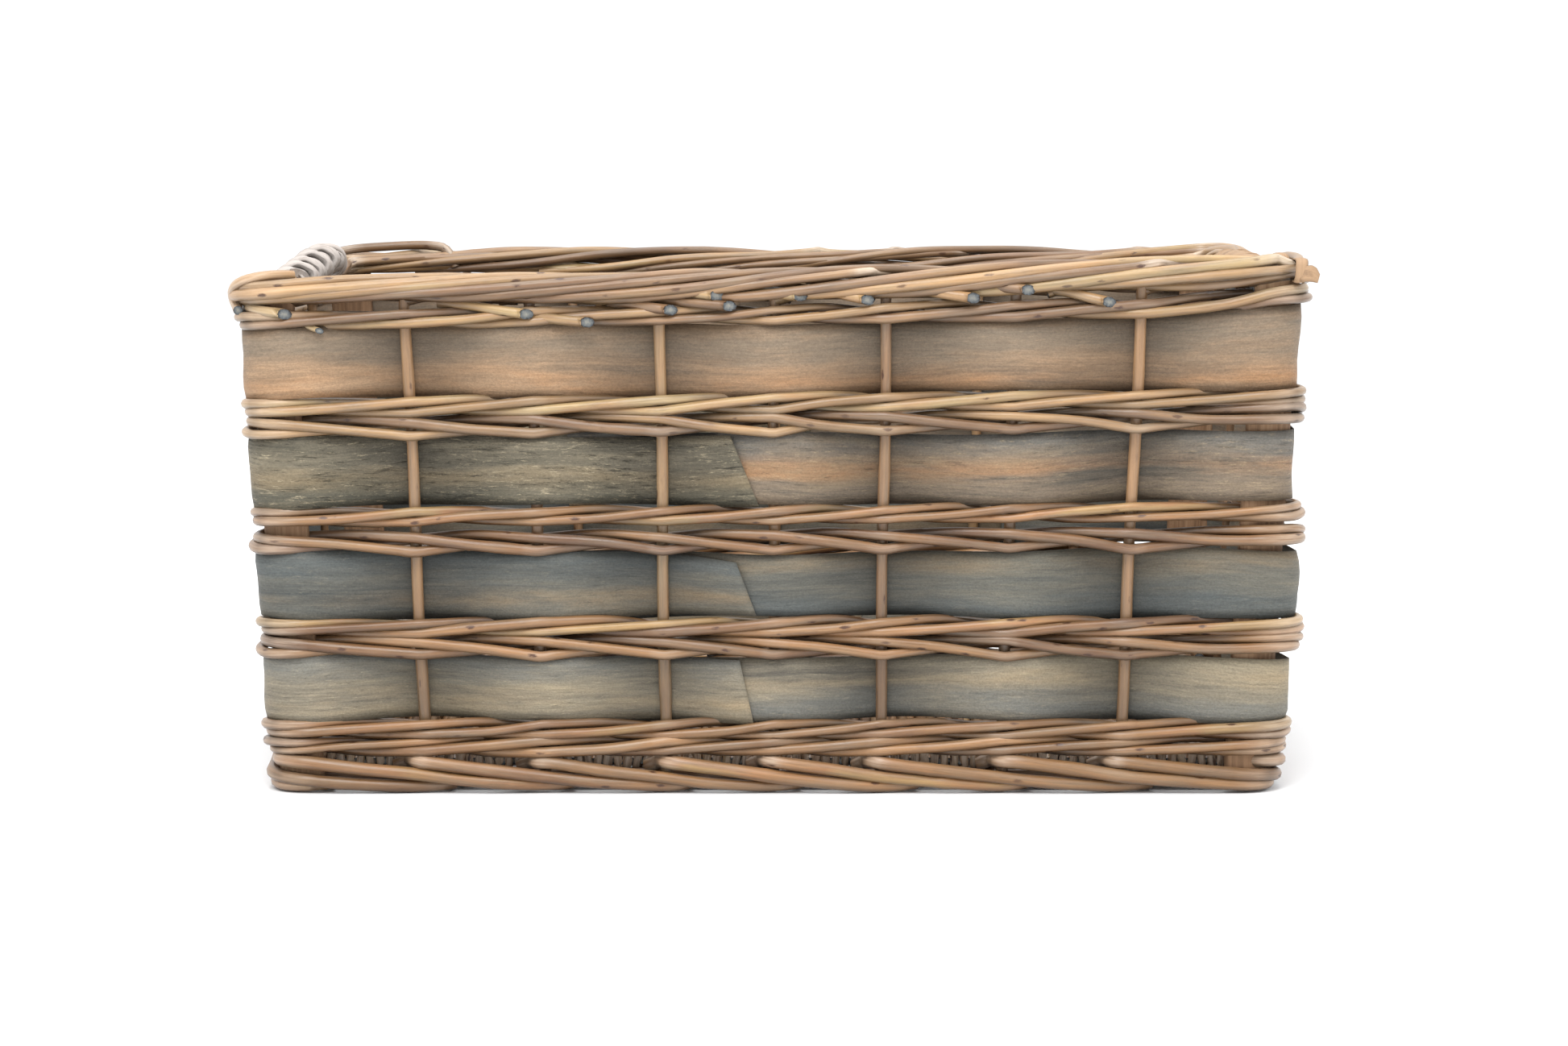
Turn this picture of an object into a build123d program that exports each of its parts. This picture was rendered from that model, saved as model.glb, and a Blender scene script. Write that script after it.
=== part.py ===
"""Rectangular wicker log basket: split-wood bands and twisted willow rows woven round upright stakes.

Millimetres. +Z is up, X runs along the length, the front faces -Y, and the origin is the centre of the
footprint on the floor. "Out" is a distance from the wall's middle surface, which holds the stake centres:
positive is outside the basket and negative is inside. The walls lean out, and the upper rows climb a little
towards +X, as hand weaving does.
"""

import os

from build123d import *

# Wall: its middle surface is a rounded rectangle that grows with height
foot_half_length = 246.5
foot_half_depth = 175.0
wall_lean = 0.047  # millimetres outwards for each millimetre of height
corner_radius = 14.0
climb_start = 70.0  # height where the rows begin to climb towards +X
climb_rate = 0.000085  # slope gained for each millimetre above that

# Rods
stake_d = 6.0
wale_rod_d = 4.6
border_rod_d = 6.0
base_stick_d = 8.0
rod_gap = 0.2  # free space between a stake and what is woven round it

# Stakes: where they stand along each wall, at floor level
front_stakes = (-174.0, -115.0, -54.0, 0.0, 53.0, 114.0, 173.0)
back_stakes = (-172.0, -114.0, -57.0, 0.0, 57.0, 114.0, 172.0)
end_stakes = (-110.0, -55.0, 0.0, 55.0, 110.0)
stake_bottom = 5.0
stake_top = 257.0

# Corner posts: curved slats, as thick as a stake
post_leg = 4.0  # flat stretch past the bend

# Split-wood bands: lowest and highest edge
band_edges = ((201.7, 236.8), (146.2, 181.6), (89.3, 122.4), (37.0, 69.4))
band_t = 1.8
band_swing = 5.1  # how far the band's route swings out and in at the stakes
band_bend = 40.0
band_corner_run = 34.0  # straight stretch on each side of a corner

# Three-rod wale rows: middle height of each
wale_heights = {
    "wale_under_border": 242.0,
    "wale_1_upper": 196.6,
    "wale_1_lower": 186.7,
    "wale_2_upper": 140.9,
    "wale_2_lower": 127.6,
    "wale_3_upper": 84.3,
    "wale_3_lower": 74.4,
    "wale_foot_upper": 31.9,
    "wale_foot_lower": 22.1,
}

# Border rods: (out, height), packed round the stake tops
border_rods = ((6.2, 250.3), (8.9, 255.8), (4.2, 260.9), (-2.2, 261.2), (-7.4, 256.6), (-6.2, 250.4))

# Handles: a bowed grip in the border of each end, over a finger slot between two stakes
grip_half_span = 80.0
left, right = -1, 1
grip_height = {left: 254.5, right: 251.5}  # middle of the grip at its ends, before the climb
grip_rise = {left: 9.0, right: 3.0}  # how far it bows up
grip_out = -6.0
grip_w, grip_h = 17.0, 9.0
grip_edge_r = 3.6
binding_t = 1.6
binding_half_span = 70.0
slot_half_span = 52.0

# Foot ring and base
foot_ring_h = 17.0
foot_ring_out, foot_ring_in = 7.0, -6.0
foot_edge_r = 3.0
base_bottom, base_top = 8.0, 20.0
base_stick_count = 7
base_stick_pitch = 52.0
base_end_gap = 10.0  # how far the sticks stand out past the weave


def half_length(z):
    return foot_half_length + wall_lean * z


def half_depth(z):
    return foot_half_depth + wall_lean * z


def climb(z):
    """Slope of the row at height z, rising towards +X."""
    return climb_rate * max(0.0, z - climb_start)


def end_rise(side, z):
    """How much higher the row at height z is where it meets an end wall."""
    return side * climb(z) * half_length(z)


def level(z):
    """Working plane of a row at height z, tilted by its climb and centred between the leaning end walls."""
    slope = climb(z)
    return Plane(origin=(wall_lean * slope * half_length(z), 0, z), x_dir=(1, 0, slope), z_dir=(-slope, 0, 1))


def at_height(along, z, foot_half):
    """A place given along a wall at floor level, carried up the leaning wall to height z."""
    return along * (1 + wall_lean * z / foot_half)


def outline(z, out):
    """Corner points of the rounded rectangle at height z, offset outwards."""
    x, y = half_length(z) + out, half_depth(z) + out
    return [(-x, -y), (x, -y), (x, y), (-x, y)]


def round_rod(route, diameter):
    """A round rod along a route."""
    with BuildPart() as rod:
        with BuildSketch(Plane(origin=route @ 0, z_dir=route % 0)):
            Circle(diameter / 2)
        sweep(path=route)
    return rod.part


def loop_rod(z, out, diameter):
    """A rod that runs once round the basket."""
    with BuildLine(level(z)) as route:
        FilletPolyline(*outline(z, out), radius=corner_radius + out, close=True)
    return round_rod(route.line, diameter)


def half_loop_rod(z, out, diameter, side, end_y):
    """A rod round the front (side -1) or back (side 1) half only, with its ends at end_y on the end walls."""
    x, y = half_length(z) + out, half_depth(z) + out
    with BuildLine(level(z)) as route:
        FilletPolyline(
            (-x, side * end_y), (-x, side * y), (x, side * y), (x, side * end_y), radius=corner_radius + out
        )
    return round_rod(route.line, diameter)


def wale_lay(z):
    """Out and height of a wale row's three rods: two stacked outside the stakes and one inside."""
    out = (stake_d + wale_rod_d) / 2 + rod_gap
    step = (wale_rod_d + rod_gap) / 2
    return ((out, z + step), (out, z - step), (-out, z))


def wale_row(z):
    """A closed wale row."""
    rods = [loop_rod(height, out, wale_rod_d) for out, height in wale_lay(z)]
    with BuildPart() as row:
        for rod in rods:
            add(rod)
    return row.part


def open_wale_row(z):
    """The wale row under the border, which turns back at the two finger slots."""
    rods = [
        half_loop_rod(height, out, wale_rod_d, side, slot_half_span)
        for out, height in wale_lay(z)
        for side in (-1, 1)
    ]
    with BuildPart() as row:
        for rod in rods:
            add(rod)
    return row.part


def border_half(side):
    """The rolled border round the front or back half, between the two grips."""
    rods = [half_loop_rod(height, out, border_rod_d, side, grip_half_span) for out, height in border_rods]
    with BuildPart() as half:
        for rod in rods:
            add(rod)
    return half.part


def stake(foot, top):
    """An upright stake between two points of the wall's middle surface."""
    with BuildPart() as rod:
        with BuildSketch(Plane(origin=foot, z_dir=Vector(*top) - Vector(*foot))):
            Circle(stake_d / 2)
        extrude(amount=(Vector(*top) - Vector(*foot)).length)
    return rod.part


def long_wall_stake(along, side):
    foot = (at_height(along, stake_bottom, foot_half_length), side * half_depth(stake_bottom), stake_bottom)
    top = stake_top + climb(stake_top) * along
    return stake(foot, (at_height(along, top, foot_half_length), side * half_depth(top), top))


def end_wall_stake(along, side, top):
    foot = (side * half_length(stake_bottom), at_height(along, stake_bottom, foot_half_depth), stake_bottom)
    return stake(foot, (side * half_length(top), at_height(along, top, foot_half_depth), top))


def corner_post(side_x, side_y):
    """A curved slat in a corner, leaning out with both walls."""
    x, y = half_length(stake_bottom), half_depth(stake_bottom)
    inner = stake_d / 2
    with BuildPart() as post:
        with BuildSketch(Plane.XY.offset(stake_bottom)):
            with BuildLine():
                FilletPolyline(
                    (side_x * (x - corner_radius - post_leg), side_y * y),
                    (side_x * x, side_y * y),
                    (side_x * x, side_y * (y - corner_radius - post_leg)),
                    radius=corner_radius,
                )
                offset(amount=inner, side=Side.BOTH)
            make_face()
        rise = end_rise(side_x, stake_top)
        extrude(amount=stake_top + rise - stake_bottom, dir=(side_x * wall_lean, side_y * wall_lean, 1))
    return post.part


def band_points(z, out):
    """Route of a band at height z: outside the corner posts, then in and out round the stakes."""
    x, y = half_length(z), half_depth(z)
    corner_out = stake_d / 2 + band_t / 2 + rod_gap + out
    points, bends = [], []
    walls = (
        ([at_height(s, z, foot_half_length) for s in front_stakes], x, lambda a, o: (a, -y - o)),
        ([at_height(s, z, foot_half_depth) for s in end_stakes], y, lambda a, o: (x + o, a)),
        ([at_height(-s, z, foot_half_length) for s in reversed(back_stakes)], x, lambda a, o: (-a, y + o)),
        ([at_height(s, z, foot_half_depth) for s in end_stakes], y, lambda a, o: (-x - o, -a)),
    )
    for stakes, reach, place in walls:
        points.append(place(-reach - corner_out, corner_out))
        bends.append(corner_radius + corner_out)
        points.append(place(-reach - corner_out + band_corner_run, corner_out))
        bends.append(band_bend)
        for number, along in enumerate(stakes):
            swing = -band_swing if number % 2 == 0 else band_swing
            points.append(place(along, swing + out))
            bends.append(band_bend)
        points.append(place(reach + corner_out - band_corner_run, corner_out))
        bends.append(band_bend)
    return points, bends


def band_shell(low, high, out):
    """The closed column inside a band's inner or outer face."""
    with BuildPart() as shell:
        for z in (low, high):
            with BuildSketch(level(z)):
                with BuildLine():
                    points, bends = band_points(z, out)
                    FilletPolyline(*points, radius=bends, close=True)
                make_face()
        loft(ruled=True)
    return shell.part


def chip_band(low, high):
    """A split-wood band, woven in and out round the stakes."""
    outer = band_shell(low, high, band_t / 2)
    inner = band_shell(low, high, -band_t / 2)
    with BuildPart() as band:
        add(outer)
        add(inner, mode=Mode.SUBTRACT)
    return band.part


def foot_ring(standing):
    """The rolled foot border, flat underneath, with a socket for each stake and post."""
    with BuildPart() as ring:
        with BuildSketch():
            for out, mode in ((foot_ring_out, Mode.ADD), (foot_ring_in, Mode.SUBTRACT)):
                with BuildLine():
                    FilletPolyline(*outline(0, out), radius=corner_radius + out, close=True)
                make_face(mode=mode)
        extrude(amount=foot_ring_h)
        fillet(ring.faces().sort_by(Axis.Z)[-1].outer_wire().edges(), foot_edge_r)
        for piece in standing:
            add(piece, mode=Mode.SUBTRACT)
    return ring.part


def base_stick_rows():
    middle = (base_stick_count - 1) / 2
    return [(number - middle) * base_stick_pitch for number in range(base_stick_count)]


def base_stick(y):
    """A stick that runs the length of the base, from foot ring to foot ring."""
    reach = foot_half_length + foot_ring_in
    with BuildPart() as stick:
        with BuildSketch(Plane(origin=(-reach, y, (base_bottom + base_top) / 2), z_dir=(1, 0, 0))):
            Circle(base_stick_d / 2)
        extrude(amount=2 * reach)
    return stick.part


def base_weave(sticks):
    """The woven mat of the base, bored for the sticks."""
    length = 2 * (foot_half_length + foot_ring_in - base_end_gap)
    depth = 2 * (foot_half_depth + foot_ring_in)
    with BuildPart() as mat:
        with BuildSketch(Plane.XY.offset(base_bottom)):
            RectangleRounded(length, depth, corner_radius + foot_ring_in)
        extrude(amount=base_top - base_bottom)
        for stick in sticks:
            add(stick, mode=Mode.SUBTRACT)
    return mat.part


def grip_middle(side, y):
    """Height of the bowed grip's middle at a distance y from the centre line."""
    radius = (grip_half_span**2 + grip_rise[side] ** 2) / (2 * grip_rise[side])
    crest = grip_height[side] + end_rise(side, grip_height[side]) + grip_rise[side]
    return crest - radius + (radius**2 - y**2) ** 0.5


def grip_bar(side, half_span, more):
    """A bowed bar with rounded edges, cut off upright at both ends; more is what it has over the core."""
    x = side * (half_length(grip_middle(side, 0)) + grip_out)
    arcs = []
    for up in (grip_h / 2 + more, -grip_h / 2 - more):
        arcs.append([(y, grip_middle(side, y) + up) for y in (-half_span, 0, half_span)])
    with BuildPart() as bar:
        with BuildSketch(Plane.YZ.offset(x - grip_w / 2 - more)):
            with BuildLine():
                ThreePointArc(*arcs[0])
                Line(arcs[0][2], arcs[1][2])
                ThreePointArc(*arcs[1])
                Line(arcs[1][0], arcs[0][0])
            make_face()
        extrude(amount=grip_w + 2 * more)
        long_edges = [edge for edge in bar.edges() if edge.geom_type == GeomType.CIRCLE]
        fillet(long_edges, grip_edge_r + more)
    return bar.part


def binding(side, core):
    """The pale skein bound round the grip, as a close sleeve."""
    with BuildPart() as skein:
        add(grip_bar(side, binding_half_span, binding_t))
        add(core, mode=Mode.SUBTRACT)
    return skein.part


def save(part, name):
    part.label = name
    export_step(part, os.path.join("parts", name + ".step"))


def end_stake_tops(side):
    """Heights of an end wall's stakes: the middle one stops below the finger slot, its neighbours at the grip."""
    border = stake_top + end_rise(side, stake_top)
    below_slot = band_edges[0][1] + end_rise(side, band_edges[0][1])
    at_grip = grip_middle(side, end_stakes[-2] + stake_d) - grip_h / 2 - binding_t - rod_gap
    return (border, at_grip, below_slot, at_grip, border)


def main():
    os.makedirs("parts", exist_ok=True)
    standing = {}
    for number, along in enumerate(front_stakes, 1):
        standing[f"stake_front_{number}"] = long_wall_stake(along, -1)
    for number, along in enumerate(back_stakes, 1):
        standing[f"stake_back_{number}"] = long_wall_stake(along, 1)
    for side, wall in ((left, "left"), (right, "right")):
        for number, (along, top) in enumerate(zip(end_stakes, end_stake_tops(side)), 1):
            standing[f"stake_{wall}_{number}"] = end_wall_stake(along, side, top)
        standing[f"corner_post_front_{wall}"] = corner_post(side, -1)
        standing[f"corner_post_back_{wall}"] = corner_post(side, 1)
    for name, part in standing.items():
        save(part, name)
    for number, (low, high) in enumerate(band_edges, 1):
        save(chip_band(low, high), f"chip_band_{number}")
    for name, z in wale_heights.items():
        row = open_wale_row(z) if name == "wale_under_border" else wale_row(z)
        save(row, name)
    save(border_half(-1), "border_front")
    save(border_half(1), "border_back")
    for side, wall in ((left, "left"), (right, "right")):
        core = grip_bar(side, grip_half_span, 0)
        save(core, f"handle_core_{wall}")
        save(binding(side, core), f"handle_binding_{wall}")
    save(foot_ring(standing.values()), "foot_border")
    sticks = [base_stick(y) for y in base_stick_rows()]
    for number, stick in enumerate(sticks, 1):
        save(stick, f"base_stick_{number}")
    save(base_weave(sticks), "base_weave")


main()
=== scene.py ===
"""Looks of a rectangular wicker log basket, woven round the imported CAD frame.

Metres. X is the length, the front faces -Y and Z is up. A place on the wall is (lap, out, height): lap is the
distance round the wall's middle surface at floor level, counted from the left end of the front wall towards
+X; out is positive outside the basket; height is above the floor, before the climb of the row. A station is a
stake or a corner, numbered in lap order from the front left corner.
"""

import math
import random

import bpy
import numpy as np
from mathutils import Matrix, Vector


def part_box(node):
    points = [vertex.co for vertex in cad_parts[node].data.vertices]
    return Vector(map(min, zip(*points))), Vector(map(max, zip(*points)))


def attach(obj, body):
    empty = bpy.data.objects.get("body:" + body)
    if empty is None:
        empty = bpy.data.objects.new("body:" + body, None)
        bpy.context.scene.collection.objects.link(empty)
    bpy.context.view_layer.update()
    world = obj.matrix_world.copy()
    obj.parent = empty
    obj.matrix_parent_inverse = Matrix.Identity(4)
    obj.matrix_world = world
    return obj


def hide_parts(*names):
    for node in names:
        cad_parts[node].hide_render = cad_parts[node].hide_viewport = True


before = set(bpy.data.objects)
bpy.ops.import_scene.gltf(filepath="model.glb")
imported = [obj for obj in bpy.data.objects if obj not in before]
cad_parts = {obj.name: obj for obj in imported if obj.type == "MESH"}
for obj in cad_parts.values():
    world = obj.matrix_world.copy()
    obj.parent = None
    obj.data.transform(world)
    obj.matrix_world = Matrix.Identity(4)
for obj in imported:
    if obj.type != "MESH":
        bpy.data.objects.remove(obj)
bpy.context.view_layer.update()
dice = random.Random(21)
MM = 0.001

# Wall, as in the frame
FOOT_HALF_LENGTH = 0.2465
FOOT_HALF_DEPTH = 0.175
WALL_LEAN = 0.047
CORNER_RADIUS = 0.014
CLIMB_START = 0.070
CLIMB_RATE = 0.085
BACK_SETTLE = 0.75  # how much less the border climbs at the back
SETTLE_START = 0.236  # height where that begins
SETTLE_RISE = 0.012  # height over which it comes in

# Swelling near the front right corner: shift to the right at some heights, in mm, and where it comes in,
# as distances to the right of the basket's middle and in front of it
FLARE_HEIGHTS = (8, 30, 40, 68, 80, 106, 135, 164, 200, 219)
FLARE_SHIFTS = (0.7, 3.2, 6.5, 5.5, 7.2, 7.7, 3.7, 0.1, 0.5, -0.5)
FLARE_START = (0.185, 0.11)
FLARE_FADE = 0.06

# Stakes: distances from the middle of their side along the lap, in mm, at the front, the back and the ends
LONG_STAKES = ((-174, -115, -54, 0, 53, 114, 173), (-172, -114, -57, 0, 57, 114, 172))
END_STAKES = (-110, -55, 0, 55, 110)

# Rods
STAKE_R = 3.0 * MM
WALE_R = 2.65 * MM
BORDER_R = 2.7 * MM
FOOT_R = 3.5 * MM
RING_STEP = 0.0028
ROD_SIDES = 10
SCUFF_AND_SHEEN_BEND = (12.0, 110.0)  # curvature, per metre, where the pale scuffing and painted highlight of a bend starts and is full
CUT_SLANT = 1.2  # slope of a slanted cut across a rod

# Closed rows of three-rod wale: height, and +1 where the strokes rise along the lap or -1 where they fall
WALE_ROWS = {
    "wale_1_upper": (0.1966, 1),
    "wale_1_lower": (0.1867, -1),
    "wale_2_upper": (0.1409, 1),
    "wale_2_lower": (0.1276, -1),
    "wale_3_upper": (0.0843, 1),
    "wale_3_lower": (0.0744, -1),
    "wale_foot_upper": (0.0324, 1),
    "wale_foot_lower": (0.0240, 1),
}
TOP_WALE_HEIGHT = 0.2410

# Split-wood bands
BAND_T = 1.8 * MM
BAND_STEP = 0.004
BAND_ROWS = 7

# Grips: half the length of the bow, and of its binding
GRIP_HALF_SPAN = 0.080
BINDING_HALF_SPAN = 0.070


# ---------------------------------------------------------------- places on the wall

STRAIGHTS = [2 * (half - CORNER_RADIUS) for half in (FOOT_HALF_LENGTH, FOOT_HALF_DEPTH)] * 2
ARC = CORNER_RADIUS * math.pi / 2
SIDE_STARTS = [sum(STRAIGHTS[:side]) + side * ARC for side in range(4)]
LAP = sum(STRAIGHTS) + 4 * ARC


def unit(value):
    """A value held between 0 and 1."""
    return np.clip(value, 0, 1)


def plan(lap, out, height):
    """X and Y of places on the wall."""
    lap = np.mod(lap, LAP)
    halves = [half + WALL_LEAN * height - CORNER_RADIUS for half in (FOOT_HALF_LENGTH, FOOT_HALF_DEPTH)]
    x, y = np.zeros_like(lap), np.zeros_like(lap)
    for side in range(4):
        ahead = np.array([math.cos(side * math.pi / 2), math.sin(side * math.pi / 2)])
        outward = np.array([ahead[1], -ahead[0]])
        reach, offset = halves[side % 2], halves[(side + 1) % 2]
        gone = lap - SIDE_STARTS[side]
        along = reach * (2 * gone / STRAIGHTS[side] - 1)
        turn = np.clip((gone - STRAIGHTS[side]) / CORNER_RADIUS, 0, math.pi / 2)
        on_arc = gone > STRAIGHTS[side]
        along = np.where(on_arc, reach + (CORNER_RADIUS + out) * np.sin(turn), along)
        across = np.where(on_arc, offset + (CORNER_RADIUS + out) * np.cos(turn), offset + CORNER_RADIUS + out)
        here = (gone >= 0) & (gone <= STRAIGHTS[side] + ARC)
        x = np.where(here, along * ahead[0] + across * outward[0], x)
        y = np.where(here, along * ahead[1] + across * outward[1], y)
    return x, y


def wall(lap, out, height):
    """Points at places on the wall, with the climb of the rows."""
    lap, out, height = np.broadcast_arrays(*(np.asarray(value, float) for value in (lap, out, height)))
    x, y = plan(lap, out, height)
    settled = BACK_SETTLE * unit(y / FOOT_HALF_DEPTH) * unit((height - SETTLE_START) / SETTLE_RISE)
    height = height + (CLIMB_RATE * (1 - settled)) * np.maximum(0, height - CLIMB_START) * x
    x, y = plan(lap, out, height)
    near_corner = unit((x - FLARE_START[0]) / FLARE_FADE) * unit((-y - FLARE_START[1]) / FLARE_FADE)
    x = x + near_corner * np.interp(height / MM, FLARE_HEIGHTS, FLARE_SHIFTS) * MM
    return np.stack([x, y, height], axis=-1)


def lap_at(side, along):
    """Lap of a place on a side, counted along its heading from its middle."""
    return SIDE_STARTS[side] + STRAIGHTS[side] / 2 + along


def from_middle(side, lap):
    """Distance of a lap past the middle of a side, or short of it where negative."""
    return np.mod(lap - lap_at(side, 0) + LAP / 2, LAP) - LAP / 2


def make_stations():
    """Laps of the stations, and the names of their stakes: none at a corner."""
    laps, names = [], []
    for side, wall_name in enumerate(("front", "right", "back", "left")):
        stakes = LONG_STAKES[side // 2] if side % 2 == 0 else END_STAKES
        laps.append(SIDE_STARTS[side] - ARC / 2)
        names.append(None)
        for number, along in enumerate(stakes, 1):
            laps.append(lap_at(side, along * MM))
            back_to_front = side in (2, 3)
            names.append(f"stake_{wall_name}_{len(stakes) + 1 - number if back_to_front else number}")
    return np.array(laps), names


STATION_LAPS, STATION_NAMES = make_stations()
STATIONS = len(STATION_LAPS)


def station_lap(station):
    """Lap of a station, or of a place between two; stations go on counting past a full lap."""
    low = math.floor(station)
    here = STATION_LAPS[low % STATIONS] + LAP * (low // STATIONS)
    after = STATION_LAPS[(low + 1) % STATIONS] + LAP * ((low + 1) // STATIONS)
    return here + (station - low) * (after - here)


def follow(knots, values, at):
    """A smooth curve through values at knots, read at the places given."""
    knots, values = np.asarray(knots, float), np.asarray(values, float)
    slopes = np.gradient(values, knots, axis=0)
    low = np.clip(np.searchsorted(knots, at) - 1, 0, len(knots) - 2)
    width = (knots[low + 1] - knots[low])[:, None]
    t = ((at - knots[low]) / width[:, 0])[:, None]
    return (
        values[low] * (2 * t**3 - 3 * t**2 + 1)
        + slopes[low] * width * (t**3 - 2 * t**2 + t)
        + values[low + 1] * (3 * t**2 - 2 * t**3)
        + slopes[low + 1] * width * (t**3 - t**2)
    )


def run_lengths(points):
    """Distance along a route to each of its points."""
    return np.concatenate([[0], np.cumsum(np.linalg.norm(np.diff(points, axis=0), axis=1))])


def thread(stops, step=RING_STEP):
    """Evenly spaced places along a smooth route through (lap, out, height) stops."""
    stops = np.asarray(stops, float)
    knots = np.concatenate([[0], np.cumsum(np.sqrt(np.linalg.norm(np.diff(stops, axis=0), axis=1)))])
    fine = follow(knots, stops, np.linspace(0, knots[-1], 20 * len(stops)))
    length = run_lengths(fine)
    at = np.linspace(0, length[-1], max(5, int(length[-1] / step) + 1))
    return np.stack([np.interp(at, length, fine[:, part]) for part in range(3)])


def wall_route(places, step=RING_STEP):
    """Places along a smooth route through (station, out in mm, height in mm) stops."""
    return thread([(station_lap(station), out * MM, height * MM) for station, out, height in places], step)


# ---------------------------------------------------------------- meshes of rods and strips


# Profiles: a rod's, and a flat skein's with how open each of its places is to the light, for painted shade
ANGLES = np.arange(ROD_SIDES) * 2 * math.pi / ROD_SIDES
ROUND = np.stack([np.cos(ANGLES), np.sin(ANGLES)], axis=1)
SKEIN = np.array(
    ((-1, -0.15), (-0.92, 0.55), (-0.5, 0.95), (0, 1.05), (0.5, 0.95), (0.92, 0.55), (1, -0.15), (0, -0.25))
)
SKEIN_OPEN = (0.35, 0.8, 1.0, 1.0, 1.0, 0.8, 0.35, 0.0)


def travelling_frames(points):
    """Two directions across the route at each point, turned as little as possible from one to the next."""
    ahead = np.gradient(points, axis=0)
    ahead /= np.linalg.norm(ahead, axis=1)[:, None]
    start = Vector((0, 0, 1)) if abs(ahead[0][2]) < 0.8 else Vector((1, 0, 0))
    across = [np.array(start.cross(Vector(ahead[0])).normalized())]
    for direction in ahead[1:]:
        carried = across[-1] - direction * np.dot(across[-1], direction)
        across.append(carried / np.linalg.norm(carried))
    across = np.array(across)
    return across, np.cross(ahead, across)


def bending(points):
    """How sharply a route bends at each point, from 0 to 1: rods are scuffed pale and get a painted highlight
    where they are bent.
    """
    ahead = np.diff(points, axis=0)
    lengths = np.linalg.norm(ahead, axis=1)
    ahead /= lengths[:, None]
    turn = np.linalg.norm(np.diff(ahead, axis=0), axis=1) / ((lengths[1:] + lengths[:-1]) / 2)
    turn = np.concatenate([[0], turn, [0]])
    turn = np.convolve(turn, (0.2, 0.2, 0.2, 0.2, 0.2), "same")
    return unit((turn - SCUFF_AND_SHEEN_BEND[0]) / (SCUFF_AND_SHEEN_BEND[1] - SCUFF_AND_SHEEN_BEND[0]))


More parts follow.
